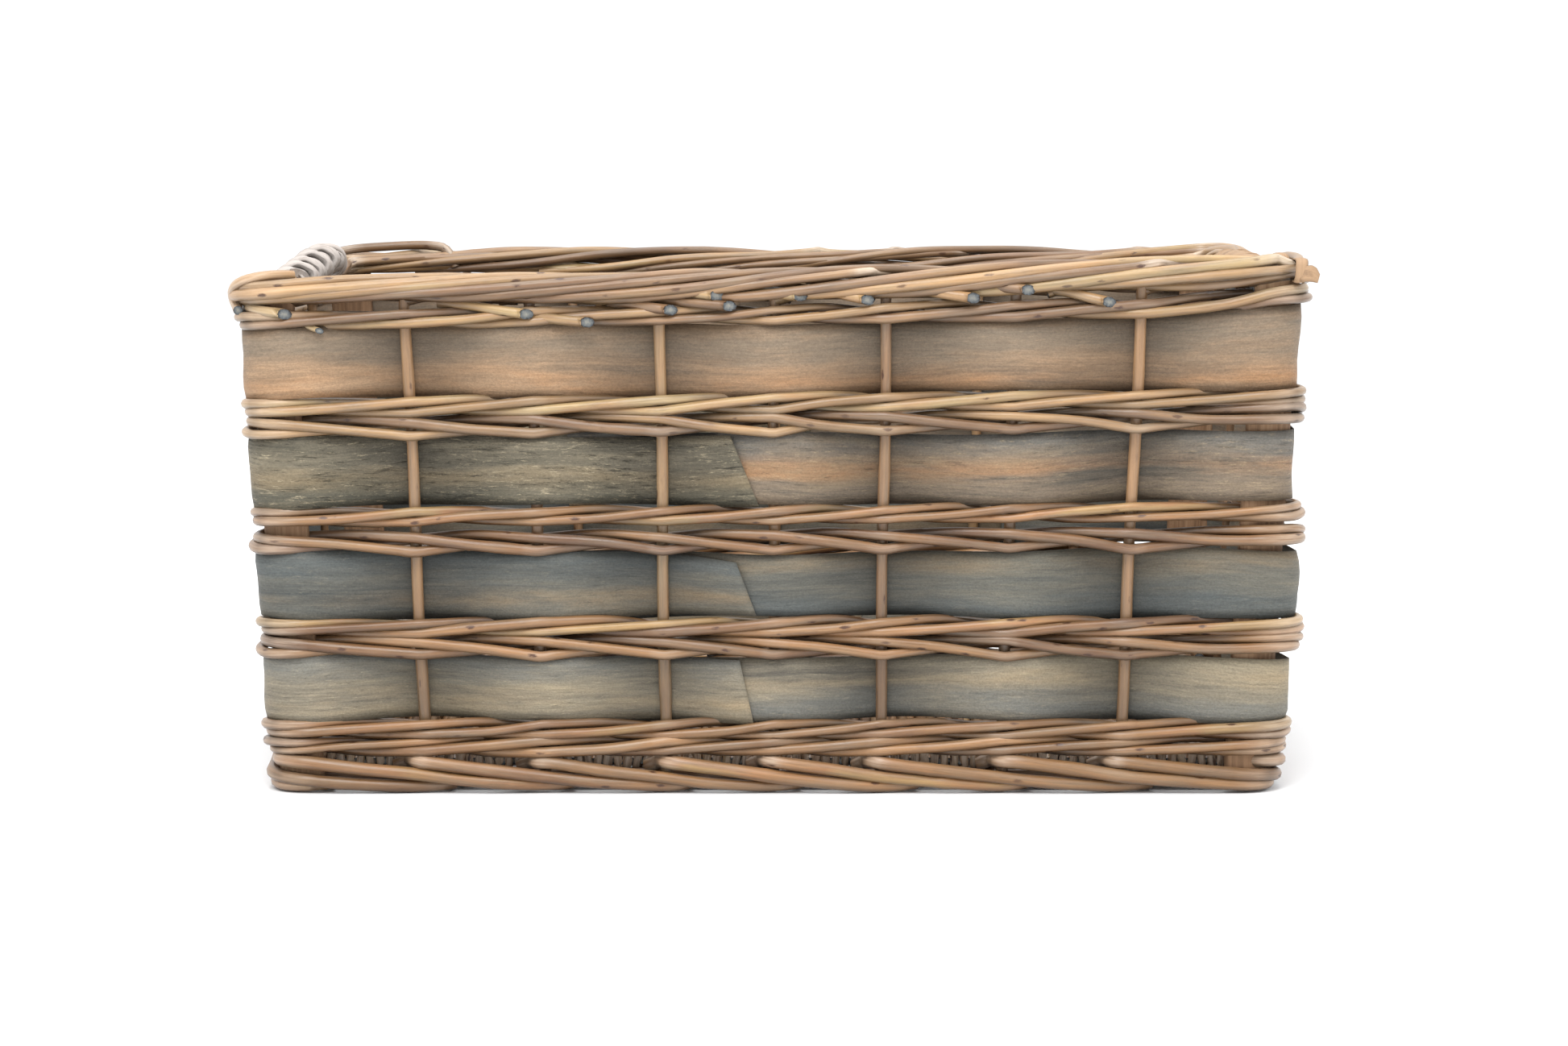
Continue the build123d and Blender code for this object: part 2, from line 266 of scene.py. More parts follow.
class Bundle:
    """Rods and strips gathered in one mesh. Each vertex has a place in its rod's grain and its rod's tone."""

    def __init__(self):
        self.verts, self.grain, self.tone, self.bend, self.open = [], [], [], [], []
        self.faces, self.ends, self.skins = [], [], []
        self.count = 0

    def use_material(self, number):
        """The faces added from here on get this material."""
        self.skins.append((len(self.faces), number))

    def put(self, verts, grain, tone, bend=0.0, open_to=1.0):
        """Adds vertices and returns the number of the first."""
        first = self.count
        self.verts.append(verts)
        self.grain.append(grain)
        self.tone.append(np.broadcast_to(tone, (len(verts), 3)))
        self.bend.append(np.broadcast_to(bend, len(verts)))
        self.open.append(np.broadcast_to(open_to, len(verts)))
        self.count += len(verts)
        return first

    def sweep(self, points, profile, sizes, frames, tone, facing=None, open_to=1.0):
        """A profile carried along points and scaled by sizes, across and up. Facing slants the cut end."""
        across, up = frames
        rings, sides = len(points), len(profile)
        shape = profile[None, :, :] * sizes[:, None, :]
        verts = points[:, None, :] + shape[:, :, :1] * across[:, None, :] + shape[:, :, 1:] * up[:, None, :]
        length = np.broadcast_to(run_lengths(points)[:, None, None], (rings, sides, 1))
        grain = np.concatenate([shape, length], axis=2)
        grain = grain + np.array([dice.uniform(-4, 4), dice.uniform(-4, 4), dice.uniform(-9, 9)])
        bend = np.repeat(bending(points), sides)
        if facing is not None:
            ahead = (points[-1] - points[-2]) / np.linalg.norm(points[-1] - points[-2])
            verts[-1] -= np.outer((verts[-1] - points[-1]) @ facing * CUT_SLANT, ahead)
        open_to = np.tile(np.broadcast_to(open_to, sides), rings)
        first = self.put(verts.reshape(-1, 3), grain.reshape(-1, 3), tone, bend, open_to)
        low = first + np.arange(rings - 1)[:, None] * sides
        here, after = np.arange(sides), (np.arange(sides) + 1) % sides
        quads = np.stack([low + here, low + after, low + sides + after, low + sides + here], axis=-1)
        self.faces += quads.reshape(-1, 4).tolist()
        self.cap(verts[0][::-1], points[0], tone)
        self.cap(verts[-1], points[-1], tone)

    def cap(self, ring, centre, tone):
        """A cut end: its tone runs from 0 at the centre to 1 at the rim."""
        count = len(ring)
        rim = self.put(ring, np.asarray(ring), (1, tone[1], tone[2]))
        middle = self.put(np.array([centre]), np.array([centre]), (0, tone[1], tone[2]))
        for side in range(count):
            self.ends.append(len(self.faces))
            self.faces.append((rim + side, rim + (side + 1) % count, middle))

    def rod(self, points, radius, tone, taper=0.0, lumps=0.05, facing=None):
        """A round rod with a slight taper, an uneven surface and swellings at its knots."""
        rings = len(points)
        along = np.linspace(-0.5, 0.5, rings)
        size = radius * (1 - taper * along)
        wave = dice.uniform(0, 6.28)
        size *= 1 + 0.4 * lumps * np.sin(np.arange(rings) * 0.31 + wave)
        for _ in range(max(1, rings // 28)):
            knot, spread = dice.uniform(0, rings), dice.uniform(1.2, 2.6)
            size *= 1 + lumps * dice.uniform(0.4, 1.6) * np.exp(-(((np.arange(rings) - knot) / spread) ** 2))
        if facing is None:
            size[0] *= 0.93
            size[-1] *= 0.93
        sizes = np.stack([size, size * dice.uniform(0.94, 1.0)], axis=1)
        self.sweep(points, ROUND, sizes, travelling_frames(points), tone, facing)

    def paint_hollow_shade(self, height=None, reach=7.5 * MM):
        """Paints shade on what lies deep in the weave: near the wall's middle surface or, with a height, that
        line.
        """
        verts = np.concatenate(self.verts)
        lean = WALL_LEAN * verts[:, 2]
        length_out = np.abs(verts[:, 0]) - FOOT_HALF_LENGTH - lean
        depth_out = np.abs(verts[:, 1]) - FOOT_HALF_DEPTH - lean
        away = np.maximum(length_out, depth_out)
        if height is not None:
            away = np.hypot(away, verts[:, 2] - height - CLIMB_RATE * (height - CLIMB_START) * verts[:, 0])
        self.open = [unit(np.abs(away) / reach)]

    def build(self, name, materials):
        """Makes the object; the last material goes on the cut ends."""
        mesh = bpy.data.meshes.new(name)
        verts = np.concatenate(self.verts)
        mesh.from_pydata(verts.tolist(), [], self.faces)
        for key, values in (("grain", self.grain), ("tone", self.tone)):
            layer = mesh.attributes.new(key, "FLOAT_VECTOR", "POINT")
            layer.data.foreach_set("vector", np.concatenate(values).astype(np.float32).ravel())
        for key, values in (("bend", self.bend), ("open", self.open)):
            layer = mesh.attributes.new(key, "FLOAT", "POINT")
            layer.data.foreach_set("value", np.concatenate(values).astype(np.float32))
        for material in materials:
            mesh.materials.append(material)
        smooth = np.ones(len(self.faces), bool)
        slots = np.zeros(len(self.faces), np.int32)
        smooth[self.ends] = False
        for first, number in self.skins:
            slots[first:] = number
        slots[self.ends] = len(materials) - 1
        mesh.polygons.foreach_set("use_smooth", smooth)
        mesh.polygons.foreach_set("material_index", slots)
        mesh.update()
        piece = bpy.data.objects.new(name, mesh)
        bpy.context.collection.objects.link(piece)
        return piece


def finish_piece(piece, slot, *nodes):
    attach(piece, "root")
    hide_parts(*nodes)


def rod_tone(low=0.0, high=1.0):
    """A rod's own tone: its place in the palette, its lightness and how knotty it is."""
    return (dice.uniform(low, high), dice.gauss(0.5, 0.16), dice.random())


# ---------------------------------------------------------------- materials


class Shader:
    """A node material under construction."""

    def __init__(self, name, roughness, specular=0.4):
        self.material = bpy.data.materials.new(name)
        self.material.use_nodes = True
        self.nodes = self.material.node_tree.nodes
        self.links = self.material.node_tree.links
        self.surface = self.nodes["Principled BSDF"]
        self.surface.inputs["Roughness"].default_value = roughness
        self.surface.inputs["Specular IOR Level"].default_value = specular

    def add(self, kind, values=None, **settings):
        node = self.nodes.new(kind)
        for key, value in settings.items():
            setattr(node, key, value)
        for socket, value in (values or {}).items():
            if isinstance(value, bpy.types.NodeSocket):
                self.links.new(value, node.inputs[socket])
            else:
                node.inputs[socket].default_value = value
        return node

    def attribute(self, name):
        return self.add("ShaderNodeAttribute", attribute_name=name).outputs["Vector"]

    def amount(self, name):
        return self.add("ShaderNodeAttribute", attribute_name=name).outputs["Fac"]

    def parts(self, vector):
        return self.add("ShaderNodeSeparateXYZ", {0: vector}).outputs

    def stretch(self, vector, scale):
        return self.add("ShaderNodeVectorMath", {0: vector, 1: scale}, operation="MULTIPLY").outputs[0]

    def noise(self, vector, scale, detail=4.0, rough=0.6):
        values = {"Vector": self.stretch(vector, scale), "Scale": 1.0, "Detail": detail, "Roughness": rough}
        return self.add("ShaderNodeTexNoise", values).outputs["Fac"]

    def math(self, operation, first, second, clamp=False):
        values = {0: first, 1: second}
        return self.add("ShaderNodeMath", values, operation=operation, use_clamp=clamp).outputs[0]

    def apart(self, value, place):
        """How far a value is from a place."""
        return self.math("ABSOLUTE", self.math("SUBTRACT", value, place), 0.0)

    def spread(self, value, low, high, to_low=0.0, to_high=1.0):
        values = {0: value, 1: low, 2: high, 3: to_low, 4: to_high}
        return self.add("ShaderNodeMapRange", values).outputs[0]

    def ramp(self, value, stops):
        node = self.add("ShaderNodeValToRGB", {0: value})
        elements = node.color_ramp.elements
        while len(elements) < len(stops):
            elements.new(0.5)
        for element, (place, colour) in zip(elements, stops):
            element.position = place
            element.color = (*colour, 1)
        return node.outputs[0]

    def mix(self, factor, first, second, blend="MIX"):
        node = self.add("ShaderNodeMix", data_type="RGBA", blend_type=blend)
        for place, value in ((0, factor), (6, first), (7, second)):
            if isinstance(value, bpy.types.NodeSocket):
                self.links.new(value, node.inputs[place])
            elif place == 0:
                node.inputs[place].default_value = value
            else:
                node.inputs[place].default_value = (*value, 1)
        return node.outputs[2]

    def lighten(self, colour, factor):
        """Multiplies a colour by a grey value."""
        grey = self.add("ShaderNodeCombineColor", {0: factor, 1: factor, 2: factor}).outputs[0]
        return self.mix(1.0, colour, grey, "MULTIPLY")

    def done(self, colour, height=None, strength=0.3, distance=0.0004, roughness=None):
        self.links.new(colour, self.surface.inputs["Base Color"])
        if height is not None:
            bump = self.add("ShaderNodeBump", {"Height": height, "Strength": strength, "Distance": distance})
            self.links.new(bump.outputs[0], self.surface.inputs["Normal"])
        if roughness is not None:
            self.links.new(roughness, self.surface.inputs["Roughness"])
        return self.material


def srgb(red, green, blue):
    """A linear colour from 8-bit display values."""
    return tuple(((value / 255 + 0.055) / 1.055) ** 2.4 for value in (red, green, blue))


def palette(*stops):
    """Stops of a colour ramp from places and 8-bit display values."""
    return [(place, srgb(*colour)) for place, *colour in stops]


def willow(name, palette, grime=0.35, scuff_and_sheen=0.7):
    """Peeled willow under a grey wash: streaks, blotches, dark knots, pale scuffs with a painted highlight on
    bends, painted shade in the hollows and on the undersides.
    """
    shader = Shader(name, 0.5, 0.55)
    grain, tone = shader.attribute("grain"), shader.parts(shader.attribute("tone"))
    streak = shader.noise(grain, (560, 560, 26), 5, 0.75)
    blotch = shader.noise(grain, (75, 75, 17), 3, 0.5)
    stain = shader.noise(grain, (170, 170, 40), 4, 0.7)
    wash = shader.noise(grain, (230, 230, 26), 4, 0.6)
    place = shader.math("ADD", tone[0], shader.spread(blotch, 0.3, 0.7, -0.28, 0.28), clamp=True)
    colour = shader.ramp(place, palette)
    colour = shader.mix(shader.spread(wash, 0.45, 0.7, 0.0, 0.45), colour, GREY_WASH)
    colour = shader.lighten(colour, shader.spread(streak, 0.3, 0.7, 0.70, 1.20))
    colour = shader.lighten(colour, shader.spread(tone[1], 0, 1, 0.72, 1.24))
    colour = shader.mix(shader.spread(stain, 0.56, 0.76, 0.0, grime), colour, srgb(78, 56, 42))
    # Pale scuffing of stretched bark, and a painted highlight, where rods bend
    scuff_and_sheen_mask = shader.math("MULTIPLY", shader.amount("bend"), shader.spread(streak, 0.35, 0.6, 0.1, scuff_and_sheen))
    colour = shader.mix(scuff_and_sheen_mask, colour, srgb(216, 200, 182))
    knot = willow_knots(shader, grain, tone)
    colour = shader.mix(knot, colour, srgb(66, 36, 22))
    # Painted shade deep in the weave, from the open attribute
    colour = shader.lighten(colour, shader.spread(shader.amount("open"), 0.0, 1.0, 0.36, 1.0))
    # Painted shade: the undersides of the rods are darker, as though lit from above
    normal = shader.parts(shader.add("ShaderNodeNewGeometry").outputs["Normal"])
    colour = shader.lighten(colour, shader.spread(normal[2], -0.9, -0.1, UNDERSIDE_PAINTED_SHADE, 1.0))
    height = shader.math("SUBTRACT", streak, shader.math("MULTIPLY", knot, 0.8))
    rough = shader.spread(streak, 0.3, 0.7, 0.26, 0.44)
    return shader.done(colour, height, 0.4, 0.0004, rough)


def willow_knots(shader, grain, tone):
    """Strength of the bud scars: short dark dashes along the rod, in some cells of a lattice only."""
    lattice = shader.stretch(grain, (170, 170, 62))
    cells = shader.add("ShaderNodeTexVoronoi", {"Vector": lattice, "Scale": 1.0})
    ragged = shader.spread(shader.noise(grain, (1500, 1500, 500), 2, 0.6), 0.2, 0.8, -0.07, 0.07)
    distance = shader.math("ADD", cells.outputs["Distance"], ragged)
    chosen = shader.spread(shader.parts(cells.outputs["Color"])[0], 0.44, 0.50)
    knot = shader.math("MULTIPLY", shader.spread(distance, 0.09, 0.18, 0.9, 0.0), chosen)
    return shader.math("MULTIPLY", knot, shader.spread(tone[2], 0.0, 0.5, 0.55, 1.0))


def cut_end():
    """A cut rod end: pale grey wood that darkens to a blue-grey ring and a dark rim of bark."""
    shader = Shader("cut_end", 0.8, 0.2)
    tone = shader.parts(shader.attribute("tone"))
    speckle = shader.noise(shader.attribute("grain"), (700, 700, 700), 4, 0.7)
    ring = shader.math("ADD", tone[0], shader.spread(speckle, 0.3, 0.7, -0.3, 0.22))
    stops = palette((0.0, 136, 134, 126), (0.5, 104, 107, 107), (0.82, 78, 82, 85), (0.99, 52, 46, 42))
    return shader.done(shader.ramp(ring, stops), speckle, 0.4)


def split_wood(name, colours, streak_at, bloom_at, coarse):
    """Split wood. Colours are dark, middle, light, streak and bloom; the streak lies along the strip at one
    place across it, and the bloom spreads from another; coarse is how torn and flecked it is."""
    dark, middle, light, streak, bloom = colours
    shader = Shader(name, 0.62, 0.3)
    grain, tone = shader.attribute("grain"), shader.parts(shader.attribute("tone"))
    drift = shader.noise(grain, (7, 16, 8), 3, 0.5)
    bent = shader.add("ShaderNodeCombineXYZ", {1: shader.spread(drift, 0, 1, -0.007, 0.007)}).outputs[0]
    grain = shader.add("ShaderNodeVectorMath", {0: grain, 1: bent}, operation="ADD").outputs[0]
    lines = shader.noise(grain, (14, 520, 100), 6, 0.75)
    patch = shader.noise(grain, (8, 62, 20), 5, 0.6)
    place = shader.math("ADD", shader.math("MULTIPLY", lines, 0.32), shader.math("MULTIPLY", patch, 0.68))
    own = shader.spread(tone[0], 0, 1, -0.3, 0.3)
    place = shader.math("ADD", shader.spread(place, 0.34, 0.66), own, clamp=True)
    colour = shader.ramp(place, [(0.0, dark), (0.45, middle), (1.0, light)])
    cloud = shader.noise(grain, (12, 60, 20), 6, 0.7)
    broken = shader.spread(cloud, 0.36, 0.6)
    away = shader.math("ADD", shader.apart(tone[1], streak_at), shader.spread(patch, 0.3, 0.7, 0.16, -0.16))
    share = shader.math("MULTIPLY", shader.spread(away, 0.0, 0.22, 0.9, 0.0), broken)
    colour = shader.mix(share, colour, streak)
    away = shader.math("ADD", shader.apart(tone[1], bloom_at), shader.spread(cloud, 0.3, 0.7, 0.25, -0.25))
    colour = shader.mix(shader.spread(away, 0.05, 0.42, 0.7, 0.0), colour, bloom)
    return split_wood_finish(shader, grain, tone, colour, (dark, light), coarse)


def split_wood_finish(shader, grain, tone, colour, ends, coarse):
    """Fibres, pores, tears, flecks, knots, dark edges and painted shade in the hollows over split wood's
    colours.
    """
    fibres = shader.noise(grain, (70, 800, 400), 4, 0.8)
    pores = shader.noise(grain, (900, 1100, 900), 2, 0.8)
    torn = shader.spread(shader.noise(grain, (60, 520, 300), 5, 0.85), 0.56, 0.68, 0.0, coarse)
    fleck = shader.spread(shader.noise(grain, (120, 620, 300), 5, 0.85), 0.56, 0.68, 0.0, coarse * 0.85)
    colour = shader.mix(torn, colour, tuple(value * 0.45 for value in ends[0]))
    colour = shader.mix(fleck, colour, tuple(min(1, value * 1.55) for value in ends[1]))
    colour = shader.lighten(colour, shader.spread(fibres, 0.3, 0.7, 0.82, 1.18))
    colour = shader.lighten(colour, shader.spread(pores, 0.3, 0.7, 0.84, 1.16))
    cells = shader.add("ShaderNodeTexVoronoi", {"Vector": shader.stretch(grain, (10, 36, 0)), "Scale": 1.0})
    chosen = shader.spread(shader.parts(cells.outputs["Color"])[1], 0.5, 0.55)
    knot = shader.math("MULTIPLY", shader.spread(cells.outputs["Distance"], 0.02, 0.09, 0.8, 0.0), chosen)
    colour = shader.mix(knot, colour, srgb(66, 46, 36))
    colour = shader.lighten(colour, shader.spread(shader.apart(tone[1], 0.5), 0.38, 0.5, 1.0, 0.72))
    # Painted shade where the strip dips in behind a stake, and on its inner face where it bulges out
    colour = shader.lighten(colour, shader.spread(shader.amount("open"), 0.0, 1.0, 0.56, 1.06))
    height = shader.math("ADD", shader.math("ADD", fibres, pores), shader.math("MULTIPLY", torn, -0.8))
    return shader.done(colour, height, 0.3 + 0.4 * coarse, 0.0005)


def skein(name, base, stain):
    """A flat strip of willow skin: fibres along it, brown stains, and painted shade towards its edges where the
    turns meet.
    """
    shader = Shader(name, 0.6, 0.3)
    grain = shader.attribute("grain")
    fibres = shader.noise(grain, (900, 500, 18), 4, 0.6)
    marks = shader.noise(grain, (160, 160, 90), 4, 0.7)
    colour = shader.mix(shader.spread(marks, 0.56, 0.74, 0.0, 0.6), base, stain)
    colour = shader.lighten(colour, shader.spread(fibres, 0.3, 0.7, 0.85, 1.1))
    # Painted shade towards the skein's edges
    colour = shader.lighten(colour, shader.spread(shader.amount("open"), 0.0, 1.0, 0.3, 1.0))
    return shader.done(colour, fibres, 0.4)


def slat_wood():
    """A split slat with upright grain."""
    shader = Shader("corner_slat_wood", 0.7, 0.25)
    place = shader.add("ShaderNodeTexCoord").outputs["Object"]
    lines = shader.noise(place, (420, 420, 9), 5, 0.65)
    patch = shader.noise(place, (40, 40, 14), 3, 0.5)
    tint = shader.math("ADD", shader.math("MULTIPLY", lines, 0.6), shader.math("MULTIPLY", patch, 0.4))
    stops = palette((0.3, 92, 70, 52), (0.5, 136, 106, 80), (0.7, 168, 138, 108))
    return shader.done(shader.ramp(tint, stops), lines, 0.5)


UNDERSIDE_PAINTED_SHADE = 0.48  # how bright the painted shade leaves the undersides of the rods
GREY_WASH = srgb(128, 116, 98)
TAN = palette(
    (0.0, 118, 89, 64), (0.25, 143, 111, 80), (0.5, 160, 128, 90), (0.75, 165, 128, 88), (1.0, 172, 146, 104)
)
STAKE_TAN = palette((0.0, 130, 99, 72), (0.4, 146, 113, 81), (0.7, 154, 119, 84), (1.0, 160, 131, 95))
BROWN = palette(
    (0.0, 106, 75, 51), (0.3, 129, 94, 62), (0.6, 145, 108, 71), (0.85, 153, 110, 72), (1.0, 159, 127, 83)
)


def band_wood(name, tints, streak_at, bloom_at, coarse):
    return split_wood(f"split_wood_{name}", [srgb(*tint) for tint in tints], streak_at, bloom_at, coarse)


# Tints of the split wood: dark, middle, light, streak and bloom
WARM = ((98, 84, 70), (138, 114, 90), (166, 136, 106), (158, 118, 82), (116, 106, 92))
OLIVE = ((64, 62, 52), (104, 97, 82), (142, 131, 108), (140, 121, 92), (74, 74, 64))
RUST = ((80, 76, 68), (120, 106, 90), (144, 127, 100), (150, 114, 82), (98, 99, 96))
SLATE = ((64, 67, 66), (92, 91, 84), (115, 109, 95), (122, 106, 84), (78, 84, 85))
MOSS = ((86, 82, 74), (124, 116, 100), (148, 137, 114), (150, 133, 106), (103, 105, 102))

CUT = cut_end()
BORDER_WOOD = willow("border_willow_skin", TAN)
WALE_WOOD = willow("weaving_willow_skin", TAN)
LOW_WALE_WOOD = willow("low_weaving_willow_skin", BROWN)
STAKE_WOOD = willow("stake_willow_skin", STAKE_TAN)
FOOT_WOOD = willow("foot_willow_skin", BROWN, 0.4, 0.4)
BASE_WOOD = willow("base_willow_skin", BROWN, 0.5)
BAND_WOODS = (
    (band_wood("warm", WARM, 0.17, 0.72, 0.2),),
    (band_wood("olive", OLIVE, 0.35, 0.05, 0.95), band_wood("rust", RUST, 0.52, 1.0, 0.6)),
    (band_wood("slate", SLATE, 0.3, 0.9, 0.35), band_wood("blue_slate", SLATE, 0.85, 0.1, 0.3)),
    (band_wood("moss", MOSS, 0.3, 1.0, 0.5), band_wood("grey_moss", MOSS, 0.6, 0.15, 0.4)),
)
PALE_SKEIN = skein("pale_skein_skin", srgb(188, 179, 172), srgb(116, 96, 84))
TAN_SKEIN = skein("tan_skein_skin", srgb(164, 134, 104), srgb(104, 82, 64))


# ---------------------------------------------------------------- stakes and corner slats


STAKE_SHADE = 0.35  # how open a stake is to the light low in the basket
STAKE_SHADE_TOP = 0.05  # height where the shade starts to thin out
STAKE_SHADE_RATE = 6.5  # how fast it thins out, per metre


def make_stakes():
    for lap, name in zip(STATION_LAPS, STATION_NAMES):
        if name is None:
            continue
        low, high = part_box(name)[0][2] + 1 * MM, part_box(name)[1][2] - 1 * MM
        heights = np.arange(low, high, RING_STEP * 1.5)
        rod = Bundle()
        points = wall(np.full_like(heights, lap), np.zeros_like(heights), heights)
        points[:, 2] = heights
        sway = dice.uniform(0, 6.28)
        points[:, 0] += 0.4 * MM * np.sin(heights * 40 + sway)
        rod.rod(points, STAKE_R, rod_tone(0.1, 0.8), 0.08, 0.06)
        # Painted shade: stakes darker low in the basket
        above = np.concatenate(rod.verts)[:, 2] - STAKE_SHADE_TOP
        rod.open = [np.clip(STAKE_SHADE + STAKE_SHADE_RATE * above, STAKE_SHADE, 1)]
        finish_piece(rod.build(f"willow_{name}", [STAKE_WOOD, CUT]), "stake_willow", name)


def make_corner_slats():
    """The corner slats keep the frame's mesh and get a material."""
    wood = slat_wood()
    for name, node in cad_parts.items():
        if name.startswith("corner_post"):
            node.data.materials.clear()
            node.data.materials.append(wood)


# ---------------------------------------------------------------- three-rod wale

# A strand's cycle in half stations, as (out, up): behind a stake, out, then past two stakes, and in again.
# Rising strokes come out below the others and go in above them; falling ones go in below, with a kink upwards.
RISING = ((-5.7, 0.0), (0.4, -2.7), (5.9, -2.8), (6.3, -0.4), (6.2, 2.4), (0.6, 2.9))
FALLING = ((-5.7, 1.4), (0.6, 3.3), (5.9, 2.8), (6.5, -0.6), (6.3, -4.3), (1.2, -1.2))
KINK = 0.10  # distance, in stations, from a bend round a stake to where the rod runs straight again
# By the station of each corner, in mm: how much further out the rods go, and how much a falling row rises
CORNER_BULGE = {0: 2.6, 8: 2.4, 14: 2.6, 22: 3.8}
CORNER_GATHER = {0: 0.4, 8: 3.0, 14: 1.5, 22: 0.5}
TOP_RISE = {7.5: 2.2, 8: 6.0, 8.5: 3.0}  # rise of the row under the border at the front right corner, in mm


def strand_places(first, last, shift, height, sense):
    """Places of a strand from one station to another; shift is where it is in its cycle at station 0."""
    cycle = RISING if sense > 0 else FALLING
    corners = []
    for half in range(2 * first, 2 * last + 1):
        phase = (half + 2 * shift) % 6
        out = cycle[phase][0] + dice.uniform(-0.5, 0.5)
        up = cycle[phase][1] + dice.uniform(-0.7, 0.7)
        station = half // 2 % STATIONS
        if half % 2 == 0 and station in CORNER_BULGE:
            out += CORNER_BULGE[station] * (dice.uniform(0.5, 1.2) if out > 0 else 0.1)
            up = up * 0.8 + (CORNER_GATHER[station] if sense < 0 else 0)
        slip = dice.uniform(-0.09, 0.09) if phase in (1, 3, 5) else 0
        corners.append((phase, np.array((half / 2 + slip, out, height / MM + up))))
    places = []
    for before, (phase, here), after in zip([corners[0]] + corners, corners, corners[1:] + [corners[-1]]):
        bent = phase in (2, 4) and before[1][0] < here[0] < after[1][0]
        if bent:
            places.append(here + (before[1] - here) * 2 * KINK)
        places.append(here)
        if bent:
            places.append(here + (after[1] - here) * 2 * KINK)
    return places


def add_strand(bundle, places):
    """One rod of a strand, with both ends drawn in behind the row."""
    start, end = places[0], places[-1]
    places = [(start[0] - 0.3, start[1] - 1.6, start[2])] + places + [(end[0] + 0.3, end[1] - 1.6, end[2])]
    points = wall(*wall_route(places))
    bundle.rod(points, WALE_R * dice.uniform(0.86, 1.08), rod_tone(), dice.uniform(0.05, 0.25))


def closed_row(name, height, sense):
    """A row that closes on itself: one strand that goes round three times, as several rods."""
    bundle, station = Bundle(), 0
    while station < 3 * STATIONS:
        after = min(station + dice.choice((6, 9, 9, 12)), 3 * STATIONS)
        add_strand(bundle, strand_places(station, after, 0, height, sense))
        station = after
    bundle.paint_hollow_shade()
    wood = WALE_WOOD if name.startswith("wale_1") else LOW_WALE_WOOD
    finish_piece(bundle.build(f"{name}_rods", [wood, CUT]), "weaving_willow", name)


def open_row(name, height):
    """The row under the border, in a front and a back half that turn back at the finger slots."""
    bundle = Bundle()
    for first, last in ((-2, 10), (12, 24)):
        for shift in range(3):
            places = strand_places(first, last, shift, height, 1)
            places = [place + (0, 0, TOP_RISE.get(round(place[0] * 2) / 2, 0)) for place in places]
            inside = [number for number, place in enumerate(places) if place[1] < -4.5]
            cuts = [0, inside[len(inside) // 2], len(places) - 1]
            for low, high in zip(cuts, cuts[1:]):
                add_strand(bundle, places[low : high + 1])
    bundle.paint_hollow_shade()
    finish_piece(bundle.build(f"{name}_rods", [WALE_WOOD, CUT]), "weaving_willow", name)


def make_wales():
    for name, (height, sense) in WALE_ROWS.items():
        closed_row(name, height, sense)
    open_row("wale_under_border", TOP_WALE_HEIGHT)


# ---------------------------------------------------------------- split-wood bands


LEFT_SWING = 3.0  # how much further out the bands go round the front left corner, in mm
RIGHT_RISE = 5.0  # how much the top edge of the top band rises at the front right corner, in mm
RIGHT_DROP = 2.6  # how much the top edges of the others drop there

# Waves of a strip's edges and faces: size in mm, radians for each metre of lap, and radians from the low edge
# to the high one
LOW_WAVES = ((1.1, 21, 0), (0.5, 57, 0))
HIGH_WAVES = ((1.3, 17, 0), (0.5, 49, 0))
WARP = ((0.35, 31, 5), (0.2, 83, -9))


def band_places():
    """Laps and outs of a band's route over one lap: outside the corners, in and out round the stakes."""
    clear = (STAKE_R + BAND_T / 2) / MM + 0.25
    laps, outs = [], []
    for station in range(STATIONS):
        lap = STATION_LAPS[station]
        if STATION_NAMES[station] is None:
            for step in (-0.028, -0.012, 0.0, 0.012, 0.028):
                laps.append(lap + step)
                swing = LEFT_SWING if station == 0 else 0.0
                outs.append(clear + swing if abs(step) < 0.02 else clear - 0.5)
            number = 0
        else:
            number += 1
            laps.append(lap)
            outs.append(-clear if number % 2 else clear)
    return np.array(laps), np.array(outs)


def waves(at, table, phases, row=0.0):
    """Sum of some waves at laps, in metres; row runs from 0 at the low edge to 1 at the high one."""
    pairs = zip(table, phases)
    return sum(size * MM * np.sin(at * rate + turn * row + phase) for (size, rate, turn), phase in pairs)


def band_edges(at, end, edges, droop, phases):
    """Heights of a strip's wavy low and high edges; droop lowers the high one at the strip's end."""
    high = edges[1] - 0.7 * MM + waves(at, HIGH_WAVES, phases[2:4])
    high = high - droop * unit(1 - (end - at) / 0.05) ** 2
    near_corner = unit(1 - np.abs(np.mod(at, LAP) - SIDE_STARTS[1]) / 0.06)
    is_top = edges[1] > 0.23
    high = high + (RIGHT_RISE if is_top else -RIGHT_DROP) * MM * near_corner
    return edges[0] + waves(at, LOW_WAVES, phases[:2]), high


def band_strip(bundle, start, end, edges, slant, tone, droop=0.0):
    """One strip from lap start to lap end, where it lies outside the other strip and is cut on a slant."""
    laps, outs = band_places()
    knots = np.concatenate([laps - LAP, laps, laps + LAP])
    at = np.linspace(start, end, int((end - start) / BAND_STEP))
    out = follow(knots, np.tile(outs, 3)[:, None], at)[:, 0] * MM
    out = out + (BAND_T + 0.1 * MM) * (1 - unit((end - at) / 0.10)) ** 0.5
    phases = [dice.uniform(0, 6.28) for _ in range(6)]
    low, high = band_edges(at, end, edges, droop, phases)
    sides = []
    for face in (1, -1):
        grid = []
        for row in np.linspace(0, 1, BAND_ROWS):
            slide = slant * (0.5 - row) * unit(1 - (end - at) / 0.05)
            bevel = 0.45 if row in (0, 1) else 1.0
            warped = out + waves(at, WARP, phases[4:], row) + face * bevel * BAND_T / 2
            grid.append(wall(at + slide, warped, low + (high - low) * row))
        sides.append(np.array(grid))
    # Painted shade: darker where the strip dips in behind a stake
    add_sheet(bundle, sides, at, edges, tone, unit(0.42 + out / (9 * MM)))


